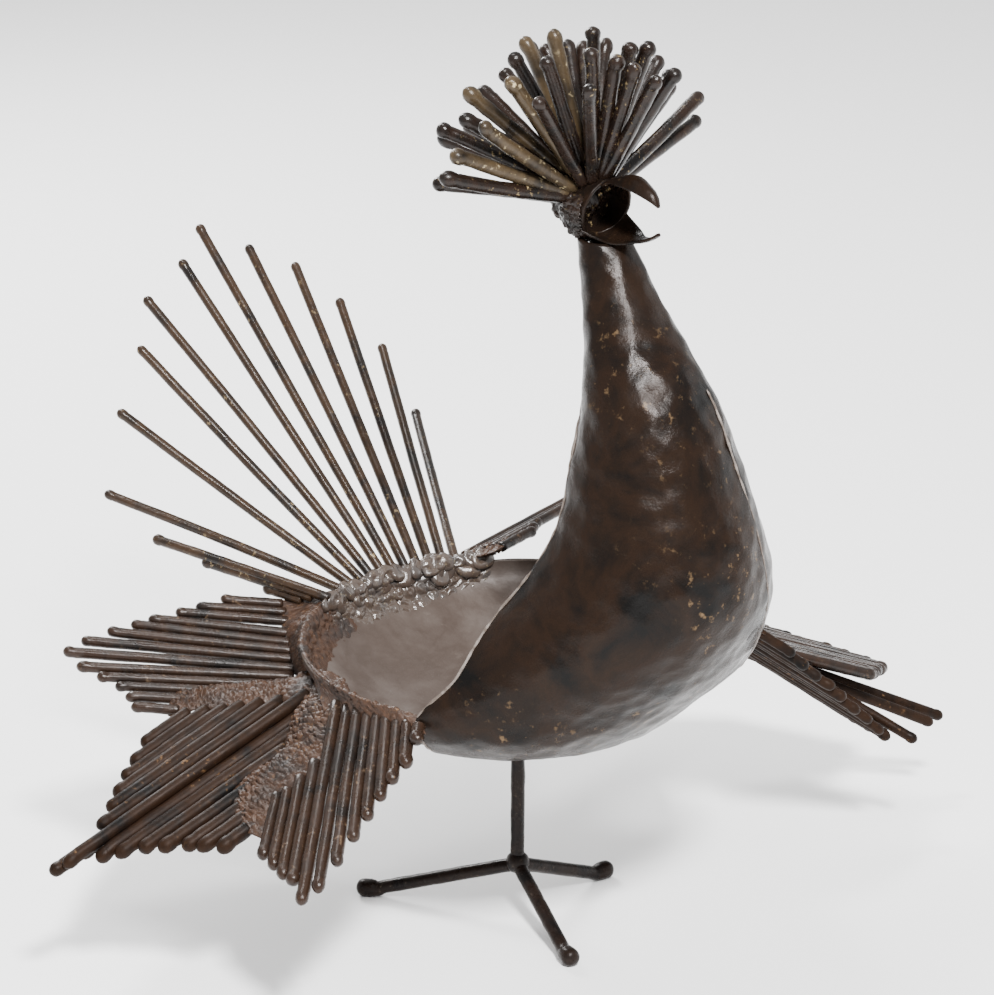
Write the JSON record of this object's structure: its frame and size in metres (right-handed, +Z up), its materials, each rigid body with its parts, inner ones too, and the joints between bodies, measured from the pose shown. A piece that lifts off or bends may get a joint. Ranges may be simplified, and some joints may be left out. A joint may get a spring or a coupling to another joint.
{
  "type": "welded iron rooster sculpture",
  "caption": "Abstract standing rooster welded from hammered sheet and round rod, with a rod crest, fanned tail, star-shaped wings and three toes.",
  "frame": {"origin": "on the floor, below the centre of the whole piece", "axes": "+X the way the bird faces, +Y its left side, +Z up"},
  "size_m": [0.4342, 0.5344, 0.4871],
  "materials": {
    "plate_iron": "hammered, dark brown patina with a satin sheen",
    "dish_iron": "smooth worn grey-brown",
    "rod_iron": "brown rod with melted ends",
    "wing_iron": "dark rod with brown rust",
    "weld_iron": "beaded weld metal",
    "foot_iron": "dark satin rod"
  },
  "bodies": {
    "root": {"back_dish": "dish_iron", "breast_plate": "plate_iron", "beak": "plate_iron", "crest": "rod_iron", "tail_weld": "weld_iron", "tail_rod_01": "rod_iron", "tail_rod_02": "rod_iron", "tail_rod_03": "rod_iron", "tail_rod_04": "rod_iron", "tail_rod_05": "rod_iron", "tail_rod_06": "rod_iron", "tail_rod_07": "rod_iron", "tail_rod_08": "rod_iron", "tail_rod_09": "rod_iron", "tail_rod_10": "rod_iron", "tail_rod_11": "rod_iron", "tail_side_spray": "rod_iron", "right_wing_rear": "wing_iron", "right_wing_middle": "wing_iron", "right_wing_front": "wing_iron", "left_wing_rear": "wing_iron", "left_wing_front": "wing_iron", "leg": "foot_iron", "toe_front": "foot_iron", "toe_left": "foot_iron", "toe_back": "foot_iron"}
  },
  "joints": []
}
